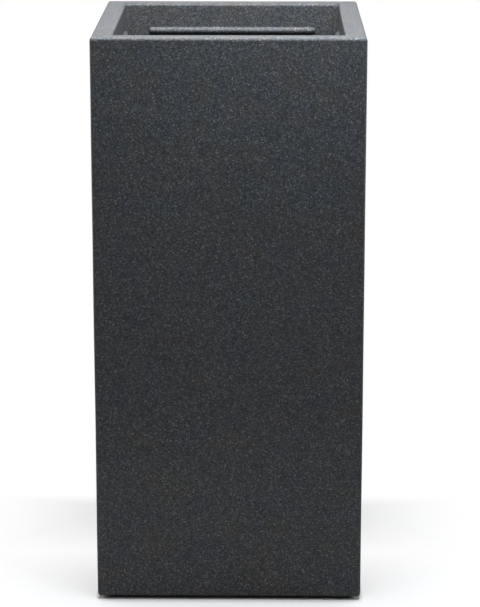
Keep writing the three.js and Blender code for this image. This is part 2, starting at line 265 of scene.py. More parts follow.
wall_bottom = shell_foot + foot_edge_radius
wall_top = rim_top - rim_edge_radius
wall_rows = round((wall_top - wall_bottom) / wall_row_spacing)
wall_profile = [
    *arc_points(foot_edge_radius, wall_bottom, foot_edge_radius, 270, 180),
    *[(0, wall_bottom + (wall_top - wall_bottom) * row / wall_rows) for row in range(1, wall_rows)],
    *arc_points(rim_edge_radius, wall_top, rim_edge_radius, 180, 90),
]
mouth_profile = arc_points(rim_width - rim_edge_radius, wall_top, rim_edge_radius, 90, 0)
skirt_profile = [
    (rim_width, rim_top - skirt_drop / 2),
    (rim_width, rim_top - skirt_drop),
    (rim_width - skirt_thickness, rim_top - skirt_drop),
    (rim_width - skirt_thickness, rim_top - rim_thickness),
]
hidden_profile = [(wall_thickness, rim_top - rim_thickness), (wall_thickness, shell_foot)]
shell_rings = [
    shell_ring(inset, height, max(wall_edge_radius - inset, wall_least_radius))
    for inset, height in wall_profile
]
shell_rings += [
    shell_ring(inset, height, mouth_corner_radius + rim_width - inset)
    for inset, height in mouth_profile + skirt_profile
]
# Band n of faces joins rings n and n + 1.
first_hidden_band = len(shell_rings) - 2
shell_rings += [shell_ring(inset, height, wall_hidden_radius) for inset, height in hidden_profile]
last_hidden_band = len(shell_rings) - 2
shell_shape = loft(shell_rings, closes_on_itself=True)

# The hidden side is bare laminate, and the seen side is pushed in a little where the mould was low.
ring_size = len(shell_rings[0])
shell_shape.faces.ensure_lookup_table()
for number, face in enumerate(shell_shape.faces):
    face.material_index = int(first_hidden_band <= number // ring_size <= last_hidden_band)
shell_shape.verts.ensure_lookup_table()
seen_vertices = shell_shape.verts[:ring_size * (len(wall_profile) + len(mouth_profile))]
pushed = [
    vertex.normal * (noise.noise(vertex.co / waviness_length) - 1) * waviness_depth
    for vertex in seen_vertices
]
for vertex, push in zip(seen_vertices, pushed):
    vertex.co += push

gelcoat = stone_effect_gelcoat()
laminate = chopped_mat_laminate()
planter_shell = make_piece("fibreglass_shell", shell_shape, gelcoat, laminate)
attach(planter_shell, "planter")
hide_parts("planter_shell")


# ---- Rails ----
# A half-round bar with round ends stands out from the skirt on each side, a little below the rim.
# Each is bonded on in the mould and gelcoated over, so it meets the skirt in a small fillet.

SIDES = {"front": 0, "right": 90, "back": 180, "left": -90}
rail_end_steps = 12
rail_round_steps = 28
rail_tip_angle = math.radians(4)
rail_fillet = 0.7 * MM
rail_fillet_sharpness = 6.0
weld_distance = 0.002 * MM


def start_geometry_tree(name, **inputs):
    """A geometry tree with named inputs: the type of each is the end of its socket's class name."""
    tree = bpy.data.node_groups.new(name, "GeometryNodeTree")
    tree.interface.new_socket("Geometry", in_out="OUTPUT", socket_type="NodeSocketGeometry")
    for input_name, kind in inputs.items():
        tree.interface.new_socket(input_name, in_out="INPUT", socket_type="NodeSocket" + kind)
    return tree, add(tree, "NodeGroupInput").outputs


def end_geometry_tree(tree, geometry, material):
    """Real geometry with its material goes to the output."""
    real = add(tree, "GeometryNodeRealizeInstances", {"Geometry": geometry})
    covered = add(tree, "GeometryNodeSetMaterial", {"Geometry": real, "Material": material})
    add(tree, "NodeGroupOutput", {"Geometry": covered})


def evaluated_mesh(holder, *others):
    """An object's result as a plain mesh. It and the others that it used are then removed."""
    depsgraph = bpy.context.evaluated_depsgraph_get()
    mesh = bpy.data.meshes.new_from_object(holder.evaluated_get(depsgraph), depsgraph=depsgraph)
    for used in (holder, *others):
        bpy.data.objects.remove(used)
    return mesh


def grown_mesh(tree, values, start=None):
    """Runs a geometry tree with the values given, and keeps its result as a plain mesh."""
    seed = put_in_scene("seed", start or bpy.data.meshes.new("seed"))
    modifier = seed.modifiers.new("grow", "NODES")
    modifier.node_group = tree
    for socket in tree.interface.items_tree:
        if socket.in_out == "INPUT" and socket.name in values:
            modifier[socket.identifier] = values[socket.name]
    return evaluated_mesh(seed)


def shape_of(mesh):
    """A bmesh of a mesh, with its seams and poles closed."""
    shape = bmesh.new()
    shape.from_mesh(mesh)
    bmesh.ops.remove_doubles(shape, verts=shape.verts, dist=weld_distance)
    return shape


def half_round_rail_tree():
    """A half-round section swept along a line, which shrinks to nothing round each end."""
    tree, given = start_geometry_tree(
        "half_round_rail", Length="Float", Height="Float", Reach="Float", Fillet="Float",
        Distance="Float", Level="Float", Turn="Float", Material="Material",
    )
    # How far each point of the path is from its nearer end, as an angle round that end.
    last = 2 * rail_end_steps + 1
    index = add(tree, "GeometryNodeInputIndex")
    from_far_end = add(tree, "ShaderNodeMath", {0: float(last), 1: index}, operation="SUBTRACT")
    from_end = add(tree, "ShaderNodeMath", {0: index, 1: from_far_end}, operation="MINIMUM")
    angle = add(
        tree, "ShaderNodeMapRange",
        {0: from_end, 2: float(rail_end_steps), 3: rail_tip_angle, 4: math.pi / 2},
    )
    along = add(tree, "ShaderNodeMath", {0: angle}, operation="COSINE")
    swell = add(tree, "ShaderNodeMath", {0: angle}, operation="SINE")
    radius = add(tree, "ShaderNodeMath", {0: given["Height"], 1: 0.5}, operation="MULTIPLY")
    straight = add(
        tree, "ShaderNodeMath", {0: given["Length"], 1: 0.5, 2: radius}, operation="MULTIPLY_ADD",
    )
    half_straight = add(tree, "ShaderNodeMath", {0: straight, 1: given["Height"]}, operation="SUBTRACT")
    out = add(tree, "ShaderNodeMath", {0: radius, 1: along, 2: half_straight}, operation="MULTIPLY_ADD")
    side = add(tree, "ShaderNodeMath", {0: index, 1: rail_end_steps + 0.5}, operation="GREATER_THAN")
    sign = add(tree, "ShaderNodeMapRange", {0: side, 3: -1.0, 4: 1.0})
    x = add(tree, "ShaderNodeMath", {0: out, 1: sign}, operation="MULTIPLY")
    place = add(tree, "ShaderNodeCombineXYZ", {"X": x})
    line = add(tree, "GeometryNodeCurvePrimitiveLine", {"Start": (-1, 0, 0), "End": (1, 0, 0)})
    points = add(tree, "GeometryNodeResampleCurve", {"Curve": line, "Count": last + 1})
    rail_path = add(tree, "GeometryNodeSetPosition", {"Geometry": points, "Position": place})
    # The half-round section, with its foot spread by the fillet.
    arc = add(
        tree, "GeometryNodeCurveArc",
        {"Resolution": rail_round_steps, "Radius": 1.0, "Start Angle": 0.0, "Sweep Angle": math.pi},
    )
    unit = add(tree, "ShaderNodeSeparateXYZ", {0: add(tree, "GeometryNodeInputPosition")}).outputs
    lowness = add(tree, "ShaderNodeMath", {0: 1.0, 1: unit["Y"]}, operation="SUBTRACT")
    foot = add(tree, "ShaderNodeMath", {0: lowness, 1: rail_fillet_sharpness}, operation="POWER")
    half_height = add(
        tree, "ShaderNodeMath", {0: foot, 1: given["Fillet"], 2: radius}, operation="MULTIPLY_ADD",
    )
    across = add(tree, "ShaderNodeMath", {0: unit["X"], 1: half_height}, operation="MULTIPLY")
    outwards = add(tree, "ShaderNodeMath", {0: unit["Y"], 1: given["Reach"]}, operation="MULTIPLY")
    section_place = add(tree, "ShaderNodeCombineXYZ", {"X": across, "Y": outwards})
    bent = add(tree, "GeometryNodeSetPosition", {"Geometry": arc, "Position": section_place})
    section = add(tree, "GeometryNodeSetSplineCyclic", {"Geometry": bent, "Cyclic": True})
    swept = add(
        tree, "GeometryNodeCurveToMesh",
        {"Curve": rail_path, "Profile Curve": section, "Scale": swell, "Fill Caps": True},
    )
    # Out to its side of the mouth, and round to it.
    back = add(tree, "ShaderNodeMath", {0: given["Distance"], 1: -1.0}, operation="MULTIPLY")
    offset = add(tree, "ShaderNodeCombineXYZ", {"Y": back, "Z": given["Level"]})
    moved = add(
        tree, "GeometryNodeTransform",
        {"Geometry": swept, "Translation": offset, "Rotation": (math.pi / 2, 0, 0)},
    )
    turn = add(tree, "ShaderNodeCombineXYZ", {"Z": given["Turn"]})
    rotation = add(tree, "FunctionNodeEulerToRotation", {0: turn})
    turned_round = add(tree, "GeometryNodeTransform", {"Geometry": moved, "Rotation": rotation})
    end_geometry_tree(tree, turned_round, given["Material"])
    return tree


rail_low, rail_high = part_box("rail_front")
bond_line = rail_low.y - (shell_low.y + rim_width)
rail_tree = half_round_rail_tree()
for side_name, turn_degrees in SIDES.items():
    rail_mesh = grown_mesh(rail_tree, {
        "Length": rail_high.x - rail_low.x,
        "Height": rail_high.z - rail_low.z,
        "Reach": rail_high.y - rail_low.y + bond_line,
        "Fillet": rail_fillet,
        "Distance": bond_line - rail_low.y,
        "Level": (rail_low.z + rail_high.z) / 2,
        "Turn": math.radians(turn_degrees),
        "Material": gelcoat,
    })
    rail = make_piece("rail_on_" + side_name, shape_of(rail_mesh), gelcoat)
    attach(rail, "planter")
    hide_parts("rail_" + side_name)


# ---- Rim battens ----
# Planed softwood strips, one up in the fold behind each side of the skirt, where they keep the rim
# straight. They are bedded in resin and brushed over with it, so the wood is darkened and glossy.

batten_edge_radius = 1.3 * MM
batten_sections = 40
batten_bow = 0.25 * MM
batten_bow_length = 90 * MM


def resin_brushed_softwood():
    """Planed pine under a brushed coat of resin.

    The growth rings run along the strip in honey and brown, and the resin wets them and shines.
    """
    material, tree, surface, _ = start_material("resin_brushed_softwood")
    ring_spacing = 3.2 * MM
    ring_wander = 3 * MM
    wander_length = 9 * MM
    fibre_width = 0.8 * MM
    heart_offset = (11 * MM, 26 * MM, 0)
    along_grain = (1, 1, 0.03)
    grain = add(tree, "ShaderNodeAttribute", attribute_name="grain").outputs["Vector"]
    from_heart = add(tree, "ShaderNodeVectorMath", {0: grain, 1: heart_offset}, operation="SUBTRACT")
    drawn_out = add(tree, "ShaderNodeVectorMath", {0: from_heart, 1: along_grain}, operation="MULTIPLY")
    wander = add(tree, "ShaderNodeTexNoise", {"Vector": drawn_out, "Scale": 1 / wander_length})
    spread = add(tree, "ShaderNodeMath", {0: wander, 1: ring_wander}, operation="MULTIPLY")
    across = add(tree, "ShaderNodeVectorMath", {0: from_heart, 1: (1, 1, 0)}, operation="MULTIPLY")
    distance = add(tree, "ShaderNodeVectorMath", {0: across}, operation="LENGTH").outputs["Value"]
    bent = add(tree, "ShaderNodeMath", {0: distance, 1: spread})
    years = add(tree, "ShaderNodeMath", {0: bent, 1: ring_spacing}, operation="DIVIDE")
    ring = add(tree, "ShaderNodeMath", {0: years}, operation="FRACT")
    latewood = add(tree, "ShaderNodeMapRange", {0: ring, 1: 0.45, 2: 0.95})
    fibres = add(tree, "ShaderNodeTexNoise", {"Vector": drawn_out, "Scale": 1 / fibre_width})
    colour = linear("a58c62")
    for share, tint in ((latewood, "7a5c37"), (fibres, "8d744e")):
        colour = add(
            tree, "ShaderNodeMix", {0: share, 6: colour, 7: linear(tint)}, data_type="RGBA",
        ).outputs[2]
    feed(tree, surface, {
        "Base Color": colour,
        "Normal": add(tree, "ShaderNodeBump", {"Height": fibres, "Strength": 0.3, "Distance": 0.15 * MM}),
        "Roughness": 0.35,
        "IOR": 1.52,
    })
    return material


def batten_shape(low, high, turn_degrees):
    """A bar with eased edges between two corners of a box, its growth rings kept as an attribute."""
    middle = (low + high) / 2
    runs_along_y = turn_degrees in (90, -90)
    length = high.y - low.y if runs_along_y else high.x - low.x
    width = high.x - low.x if runs_along_y else high.y - low.y
    height = high.z - low.z
    rings = []
    for section in range(batten_sections + 1):
        along = length * (section / batten_sections - 0.5)
        eased = batten_edge_radius if section in (0, batten_sections) else 0
        bow = batten_bow * (noise.noise(Vector((along / batten_bow_length, turn_degrees, 0))) + 1)
        ring = rounded_ring(
            height - 2 * eased - bow, width - 2 * eased - bow, batten_edge_radius, along,
            corner_steps=3, side_steps=4,
        )
        rings.append(ring)
        if section == 0:
            stretch = 1 + 2 * eased / height
            rings.append([Vector((*point.xy * stretch, along + eased)) for point in ring])
    shape = loft(rings)
    grain = shape.verts.layers.float_vector.new("grain")
    lie_down = Matrix.Rotation(math.pi / 2, 3, "Y")
    turn = Matrix.Rotation(math.radians(turn_degrees), 3, "Z")
    for vertex in shape.verts:
        vertex[grain] = vertex.co
        vertex.co = middle + turn @ lie_down @ vertex.co
    return shape


softwood = resin_brushed_softwood()
for side_name, turn_degrees in SIDES.items():
    batten_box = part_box("rim_batten_" + side_name)
    batten = make_piece("batten_behind_" + side_name, batten_shape(*batten_box, turn_degrees), softwood)
    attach(batten, "planter")
    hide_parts("rim_batten_" + side_name)


# ---- Base panel ----
# A tray of chopped-mat laminate, laid over a former and bonded inside the walls. Its edge turns up,
# each foot has a boss moulded over it, and the middle is bored for the drain.

base_low, base_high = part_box("base_panel")
foot_low, foot_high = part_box("foot_back_right")
foot_spread = (foot_low.x + foot_high.x) / 2
base_thickness = 5 * MM
base_flange_thickness = 4 * MM
base_fillet_radius = 6 * MM
base_corner_radius = 2.7 * MM
base_edge_radius = 1.2 * MM
boss_radius = 8 * MM
boss_top = base_low.z + 16 * MM
boss_fillet = 2.5 * MM
boss_edge_radius = 1.2 * MM
pilot_radius = 2.5 * MM
pilot_top = base_low.z + 12 * MM
drain_hole_radius = 16 * MM


def circle(radius, height, steps):
    """Points round a circle, anticlockwise seen from above."""
    angles = [2 * math.pi * step / steps for step in range(steps)]
    return [Vector((radius * math.cos(angle), radius * math.sin(angle), height)) for angle in angles]


def turned(profile, steps, closes_on_itself=False):
    """A turned shape from [radius, height] pairs, up its outer side."""
    return loft([circle(radius, height, steps) for radius, height in profile], closes_on_itself)


def combine(body, operation, tool):
    """The exact boolean of two meshes, as a new mesh."""
    holder = put_in_scene("body", body)
    other = put_in_scene("tool", tool)
    boolean = holder.modifiers.new("boolean", "BOOLEAN")
    boolean.operation = operation
    boolean.solver = "EXACT"
    boolean.object = other
    return evaluated_mesh(holder, other)


def corner_tree():
    """What goes in, drawn as it stands at the front left, turned round to each corner of a square."""
    tree, given = start_geometry_tree(
        "one_at_each_corner", Geometry="Geometry", Spread="Float", Material="Material",
    )
    side = add(tree, "ShaderNodeMath", {0: given["Spread"], 1: 2.0}, operation="MULTIPLY")
    grid = add(
        tree, "GeometryNodeMeshGrid", {"Size X": side, "Size Y": side, "Vertices X": 2, "Vertices Y": 2},
    )
    place = add(tree, "ShaderNodeSeparateXYZ", {0: add(tree, "GeometryNodeInputPosition")}).outputs
    bearing = add(tree, "ShaderNodeMath", {0: place["Y"], 1: place["X"]}, operation="ARCTAN2")
    from_front_left = add(tree, "ShaderNodeMath", {0: bearing, 1: math.radians(135)})
    angles = add(tree, "ShaderNodeCombineXYZ", {"Z": from_front_left})
    rotation = add(tree, "FunctionNodeEulerToRotation", {0: angles})
    copies = add(
        tree, "GeometryNodeInstanceOnPoints",
        {"Points": grid, "Instance": given["Geometry"], "Rotation": rotation},
    )
    end_geometry_tree(tree, copies, given["Material"])
    return tree


def tray_ring(inset, height, radius):
    width = base_high.x - base_low.x
    depth = base_high.y - base_low.y
    return rounded_ring(
        width - 2 * inset, depth - 2 * inset, radius, height, corner_steps=6, side_steps=10,
    )


base_top = base_low.z + base_thickness
flange_profile = [
    *arc_points(base_edge_radius, base_low.z + base_edge_radius, base_edge_radius, 270, 180, 4),
    *arc_points(base_edge_radius, base_high.z - base_edge_radius, base_edge_radius, 180, 90, 4),
]
tray_rings = [tray_ring(inset, height, base_corner_radius) for inset, height in flange_profile]
inner_edge = arc_points(
    base_flange_thickness - base_edge_radius, base_high.z - base_edge_radius, base_edge_radius, 90, 0, 4,
)
tray_fillet = arc_points(
    base_flange_thickness + base_fillet_radius, base_top + base_fillet_radius, base_fillet_radius,
    180, 270, 8,
)
for inset, height in inner_edge + tray_fillet:
    tray_rings.append(tray_ring(inset, height, base_corner_radius + base_fillet_radius))
tray = mesh_of("tray", loft(tray_rings))
boss_profile = [
    (boss_radius + boss_fillet, base_top - base_thickness / 2),
    *arc_points(boss_radius + boss_fillet, base_top + boss_fillet, -boss_fillet, 90, 0, 5),
    *arc_points(boss_radius - boss_edge_radius, boss_top - boss_edge_radius, boss_edge_radius, 0, 90, 4),
]
pilot_profile = [(pilot_radius, base_low.z - base_thickness), (pilot_radius, pilot_top)]
drain_profile = [(drain_hole_radius, base_low.z - base_thickness), (drain_hole_radius, boss_top)]
corners = corner_tree()
over_feet = {"Spread": foot_spread, "Material": laminate}
bosses = grown_mesh(corners, over_feet, mesh_of("boss", turned(boss_profile, 40)))
pilots = grown_mesh(corners, over_feet, mesh_of("pilot", turned(pilot_profile, 24)))
drain_bore = mesh_of("drain_bore", turned(drain_profile, 64))
tray = combine(tray, "UNION", bosses)
tray = combine(tray, "DIFFERENCE", pilots)
tray = combine(tray, "DIFFERENCE", drain_bore)
base_panel = make_piece("laminate_base", shape_of(tray), laminate)
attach(base_panel, "planter")
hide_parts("base_panel")


# ---- Feet ----
# Four moulded rubber feet, a taper with a pocket in the sole for the screw's head and three rings
# cut in the sole to grip.

foot_radius = 20 * MM
sole_radius = 18 * MM
sole_edge_radius = 1.5 * MM
foot_top_radius = 1 * MM
foot_bore = 2.8 * MM
pocket_radius = 6 * MM
pocket_depth = 6.5 * MM
grip_grooves = (9 * MM, 12 * MM, 15 * MM)
groove_half_width = 0.6 * MM
groove_depth = 0.9 * MM


def moulded_rubber():
    """Carbon-filled rubber, hot-moulded in a blasted tool.

    A deep matt black with a dusty bloom in patches, and a fine even tooth.
    """
    material, tree, surface, place = start_material("moulded_rubber")
    bloom_size = 9 * MM
    tooth_size = 0.6 * MM
    bloom = add(tree, "ShaderNodeTexNoise", {"Vector": place, "Scale": 1 / bloom_size, "Detail": 4.0})
    dusty = add(tree, "ShaderNodeMapRange", {0: bloom, 1: 0.45, 2: 0.8})
    colour = add(
        tree, "ShaderNodeMix", {0: dusty, 6: linear("17181a"), 7: linear("2a2b2d")}, data_type="RGBA",
    )
    tooth = add(tree, "ShaderNodeTexNoise", {"Vector": place, "Scale": 1 / tooth_size})
    feed(tree, surface, {
        "Base Color": colour.outputs[2],
        "Roughness": add(tree, "ShaderNodeMapRange", {0: bloom, 3: 0.62, 4: 0.9}),
        "Normal": add(tree, "ShaderNodeBump", {"Height": tooth, "Strength": 0.4, "Distance": 0.1 * MM}),
        "IOR": 1.52,
    })
    return material


foot_top = foot_high.z
sole = [(pocket_radius, foot_low.z)]
for groove in grip_grooves:
    sole += [
        (groove - groove_half_width, foot_low.z),
        (groove - groove_half_width / 2, foot_low.z + groove_depth),
        (groove + groove_half_width / 2, foot_low.z + groove_depth),
        (groove + groove_half_width, foot_low.z),
    ]
foot_profile = [
    *sole,
    *arc_points(
        sole_radius - sole_edge_radius, foot_low.z + sole_edge_radius, sole_edge_radius, 270, 360, 6,
    ),
    *arc_points(foot_radius - foot_top_radius, foot_top - foot_top_radius, foot_top_radius, 0, 90, 5),
    (foot_bore, foot_top),
    (foot_bore, foot_low.z + pocket_depth),
    (pocket_radius, foot_low.z + pocket_depth),
]
rubber = moulded_rubber()
one_foot = mesh_of("foot", turned(foot_profile, 64, closes_on_itself=True))
four_feet = grown_mesh(corners, {"Spread": foot_spread, "Material": rubber}, one_foot)
feet = make_piece("rubber_feet", shape_of(four_feet), rubber)
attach(feet, "planter")
CORNERS = ("front_left", "front_right", "back_right", "back_left")
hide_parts(*["foot_" + corner for corner in CORNERS])


# ---- Foot screws ----
# Pan-head screws in stainless steel with a cross recess, one up through each foot. The head is
# cold-formed, and the thread rolled.

screw_low, screw_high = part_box("foot_screw_back_right")
screw_head_radius = (screw_high.x - screw_low.x) / 2
screw_head_height = 3 * MM
screw_head_round = 1.4 * MM
screw_shank_radius = 2.1 * MM
screw_tip_radius = screw_shank_radius / 8
screw_sides = 24
thread_height = 0.3 * MM
thread_pitch = 1.6 * MM
thread_steps_per_turn = 8
recess_size = (5.4 * MM, 1.1 * MM, 3.2 * MM)  # half of its height is in the head


def rolled_stainless_steel():
    """Cold-formed A2 stainless: bright and slightly grained, with the soft dimming of tumbling."""
    material, tree, surface, place = start_material("rolled_stainless_steel")
    grain_size = 0.5 * MM
    grain = add(tree, "ShaderNodeTexNoise", {"Vector": place, "Scale": 1 / grain_size, "Detail": 3.0})
    colour = add(
        tree, "ShaderNodeMix", {0: grain, 6: linear("b4b7bb"), 7: linear("d2d4d6")}, data_type="RGBA",
    )
    feed(tree, surface, {
        "Base Color": colour.outputs[2],
        "Roughness": add(tree, "ShaderNodeMapRange", {0: grain, 3: 0.22, 4: 0.42}),
        "Metallic": 1.0,
    })
    return material


def threaded_circle(radius, height):
    """A slice of a screw thread: its radius swells once on the way round."""
    points = circle(radius, height, screw_sides)
    for step, point in enumerate(points):
        phase = (height / thread_pitch - step / screw_sides) % 1
        swell = thread_height * (1 - abs(2 * phase - 1)) / radius
        point.xy = point.xy * (1 + swell)
    return points


head_top = screw_low.z + screw_head_height
head_profile = [
    *arc_points(
        screw_head_radius - screw_head_round, screw_low.z + screw_head_round, screw_head_round, 270, 360, 6,
    ),
    (screw_head_radius, head_top),
    (screw_shank_radius, head_top),
]
thread_top = screw_high.z - screw_shank_radius
thread_slices = round((thread_top - head_top) / thread_pitch * thread_steps_per_turn)
screw_rings = [circle(radius, height, screw_sides) for radius, height in head_profile]
for slice_number in range(1, thread_slices + 1):
    height = head_top + (thread_top - head_top) * slice_number / thread_slices
    screw_rings.append(threaded_circle(screw_shank_radius, height))
screw_rings.append(circle(screw_tip_radius, screw_high.z, screw_sides))
screw_mesh = mesh_of("screw", loft(screw_rings))
for turn_degrees in (0, 90):
    turn = Matrix.Rotation(math.radians(turn_degrees), 4, "Z")
    recess_place = Matrix.Translation((0, 0, screw_low.z)) @ turn @ Matrix.Diagonal((*recess_size, 1))
    recess = bmesh.new()
    bmesh.ops.create_cube(recess, size=1, matrix=recess_place)
    screw_mesh = combine(screw_mesh, "DIFFERENCE", mesh_of("recess", recess))
steel = rolled_stainless_steel()
four_screws = grown_mesh(corners, {"Spread": foot_spread, "Material": steel}, screw_mesh)
screws = make_piece("foot_screws", shape_of(four_screws), steel)
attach(screws, "planter")
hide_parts(*["foot_screw_" + corner for corner in CORNERS])


# ---- Drain grommet ----
# A flanged sleeve of moulded rubber, sprung into the base's drain hole to seal its cut edge.

grommet_low, grommet_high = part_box("drain_grommet")
grommet_bore = 13 * MM
grommet_sleeve = 15.7 * MM
grommet_flange = (grommet_high.x - grommet_low.x) / 2
grommet_flange_thickness = 2.2 * MM
grommet_edge_radius = 0.7 * MM


def rounded_edge(across, bottom, top, radius, steps):
    """A turned piece's outer edge from its lower face to its upper one, both corners rounded."""
    return [
        *arc_points(across - radius, bottom + radius, radius, 270, 360, steps),
        *arc_points(across - radius, top - radius, radius, 0, 90, steps),
    ]


lower_flange_top = grommet_low.z + grommet_flange_thickness
upper_flange_bottom = grommet_high.z - grommet_flange_thickness
bore_edge = grommet_bore + grommet_edge_radius
grommet_profile = [
    *arc_points(bore_edge, grommet_low.z + grommet_edge_radius, grommet_edge_radius, 180, 270, 4),
    *rounded_edge(grommet_flange, grommet_low.z, lower_flange_top, grommet_edge_radius, 4),
    (grommet_sleeve, lower_flange_top),
    (grommet_sleeve, upper_flange_bottom),
    *rounded_edge(grommet_flange, upper_flange_bottom, grommet_high.z, grommet_edge_radius, 4),
    *arc_points(bore_edge, grommet_high.z - grommet_edge_radius, grommet_edge_radius, 90, 180, 4),
]
grommet = make_piece("rubber_grommet", turned(grommet_profile, 64, closes_on_itself=True), rubber)
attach(grommet, "planter")
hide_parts("drain_grommet")


# ---- Drain plug ----
# A tapered stopper of moulded rubber: a ribbed stem that seals in the sleeve, a cap that seats on it,
# and a knob, fluted round its edge for wet fingers.

plug_low, plug_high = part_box("drain_plug")
plug_cap_radius = (plug_high.x - plug_low.x) / 2
plug_stem_depth = 10 * MM
plug_stem_radius = 12.5 * MM
plug_stem_taper = 1 * MM
plug_cap_thickness = 3 * MM
plug_cap_round = 1 * MM
plug_neck_radius = 4 * MM
plug_neck_fillet = 2 * MM
plug_knob_radius = 8 * MM
plug_knob_height = 6 * MM
plug_sides = 96
knob_flutes = 12
flute_depth = 0.45 * MM
stem_ribs = 3
stem_rib_height = 0.2 * MM
stem_cap_gap = 0.2 * MM
stem_steps = 24


def fluted_circle(radius, height, depth):
    """A slice of the knob, whose radius dips at each flute."""
    points = circle(radius, height, plug_sides)
    for step, point in enumerate(points):
        dip = depth * (0.5 - 0.5 * math.cos(2 * math.pi * knob_flutes * step / plug_sides))
        point.xy = point.xy * (1 - dip / radius)
    return points


cap_bottom = plug_low.z + plug_stem_depth
cap_top = cap_bottom + plug_cap_thickness
knob_bottom = plug_high.z - plug_knob_height
knob_round = plug_knob_height / 2
stem_profile = [(plug_stem_radius - plug_stem_taper - plug_cap_round, plug_low.z)]
for step in range(stem_steps + 1):
    share = step / stem_steps
    rib = stem_rib_height * math.sin(2 * math.pi * stem_ribs * share)
    up = plug_cap_round * (1 - share) + (plug_stem_depth - stem_cap_gap) * share
    stem_profile.append((plug_stem_radius - plug_stem_taper * (1 - share) + rib, plug_low.z + up))
neck_foot = arc_points(
    plug_neck_radius + plug_neck_fillet, cap_top + plug_neck_fillet, -plug_neck_fillet, 90, 0, 5,
)
neck_top = arc_points(
    plug_neck_radius + plug_neck_fillet / 2, knob_bottom - plug_neck_fillet / 2, -plug_neck_fillet / 2,
    0, -90, 4,
)
cap_profile = [
    (plug_stem_radius, cap_bottom),
    *rounded_edge(plug_cap_radius, cap_bottom, cap_top, plug_cap_round, 5),
    *neck_foot,
    *neck_top,
]
knob_profile = arc_points(
    plug_knob_radius - knob_round, knob_bottom + knob_round, knob_round, -90, 90, 14,
)
plug_rings = [circle(radius, height, plug_sides) for radius, height in stem_profile + cap_profile]
for radius, height in knob_profile[1:]:
    fade = (radius - plug_knob_radius + knob_round) / knob_round
    plug_rings.append(fluted_circle(radius, height, flute_depth * fade))
plug = make_piece("rubber_plug", loft(plug_rings), rubber)
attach(plug, "plug")
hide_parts("drain_plug")


# ---- Shelf brackets ----
# A gusset with two flanges in each corner, laid up from chopped mat and bonded to the walls. Their
# edges are ground back and the folds are full of resin, so nothing on them is sharp.

bracket_low, bracket_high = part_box("shelf_bracket_front_left")
bracket_leg = bracket_high.x - bracket_low.x
bracket_plate_thickness = 5 * MM
bracket_flange_thickness = 4 * MM
bracket_corner_radius = 2.7 * MM
bracket_edge_radius = 1.2 * MM
flat_within = math.radians(1)
edge_past = math.radians(40)


def prism(outline, bottom, top):
    """A straight-sided solid from an anticlockwise outline."""
    return loft([[Vector((x, y, height)) for x, y in outline] for height in (bottom, top)])


fold = arc_points(bracket_corner_radius, bracket_corner_radius, bracket_corner_radius, 180, 270, 5)
front_leg = [*fold, (bracket_leg, 0), (bracket_leg, bracket_flange_thickness)]
inner_corner = (bracket_flange_thickness, bracket_flange_thickness)
side_leg = [(bracket_flange_thickness, bracket_leg), (0, bracket_leg)]
gusset_outline = front_leg + side_leg
angle_outline = [*front_leg, inner_corner, *side_leg]
plate_bottom = bracket_high.z - bracket_plate_thickness
bracket_mesh = combine(
    mesh_of("flanges", prism(angle_outline, bracket_low.z, bracket_high.z)),
    "UNION",
    mesh_of("gusset", prism(gusset_outline, plate_bottom, bracket_high.z)),
)
bracket_shape = shape_of(bracket_mesh)
bmesh.ops.dissolve_limit(
    bracket_shape, angle_limit=flat_within, verts=bracket_shape.verts, edges=bracket_shape.edges,
)
long_edges = [edge for edge in bracket_shape.edges if edge.calc_face_angle(0) > edge_past]
bmesh.ops.bevel(
    bracket_shape, geom=long_edges, offset=bracket_edge_radius, segments=3, profile=0.5,
    affect="EDGES", clamp_overlap=True,
)
one_bracket = mesh_of("bracket", bracket_shape)
four_brackets = grown_mesh(corners, {"Spread": -bracket_low.x, "Material": laminate}, one_bracket)
brackets = make_piece("laminate_brackets", shape_of(four_brackets), laminate)
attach(brackets, "planter")
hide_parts(*["shelf_bracket_" + corner for corner in CORNERS])


# ---- Planting shelf ----
# The lift-out false floor, injection-moulded in polypropylene: a plate with its edge turned down,
# ribs beneath it, two finger slots to lift it by, and drain holes.

shelf_low, shelf_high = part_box("planting_shelf")
shelf_thickness = 6 * MM
shelf_lip_thickness = 5 * MM
shelf_edge_radius = 2 * MM
shelf_corner_radius = 10 * MM
finger_slot_length = 84 * MM
finger_slot_width = 26 * MM
finger_slot_margin = 14 * MM
slot_end_share = 0.49  # of its width: just short of a half, so that its end keeps a short flat
hole_radius = 5 * MM
hole_pitch = 42 * MM
hole_rows = 4
cutter_overrun = 2 * MM
rib_thickness = 2.4 * MM
rib_drop = 9 * MM
rib_edge_radius = 0.4 * MM


def grained_polypropylene():
    """Injection-moulded polypropylene, black, from a spark-eroded tool.

    Dark and slightly waxy, with a fine even leather-like tooth and faint flow clouds.
    """
    material, tree, surface, place = start_material("grained_polypropylene")
    tooth_size = 1.1 * MM  # the tool's grain is about 0.3 mm, drawn as coarse as the render needs
    cloud_size = 60 * MM
    clouds = add(tree, "ShaderNodeTexNoise", {"Vector": place, "Scale": 1 / cloud_size, "Detail": 3.0})
    colour = add(
        tree, "ShaderNodeMix", {0: clouds, 6: linear("1e2021"), 7: linear("27292a")}, data_type="RGBA",
    )
    tooth = add(tree, "ShaderNodeTexVoronoi", {"Vector": place, "Scale": 1 / tooth_size})
    feed(tree, surface, {
        "Base Color": colour.outputs[2],
        "Roughness": add(tree, "ShaderNodeMapRange", {0: tooth, 3: 0.52, 4: 0.68}),
        "Normal": add(tree, "ShaderNodeBump", {"Height": tooth, "Strength": 0.35, "Distance": 0.12 * MM}),
        "IOR": 1.49,
        "Specular IOR Level": 0.12,
    })
    return material


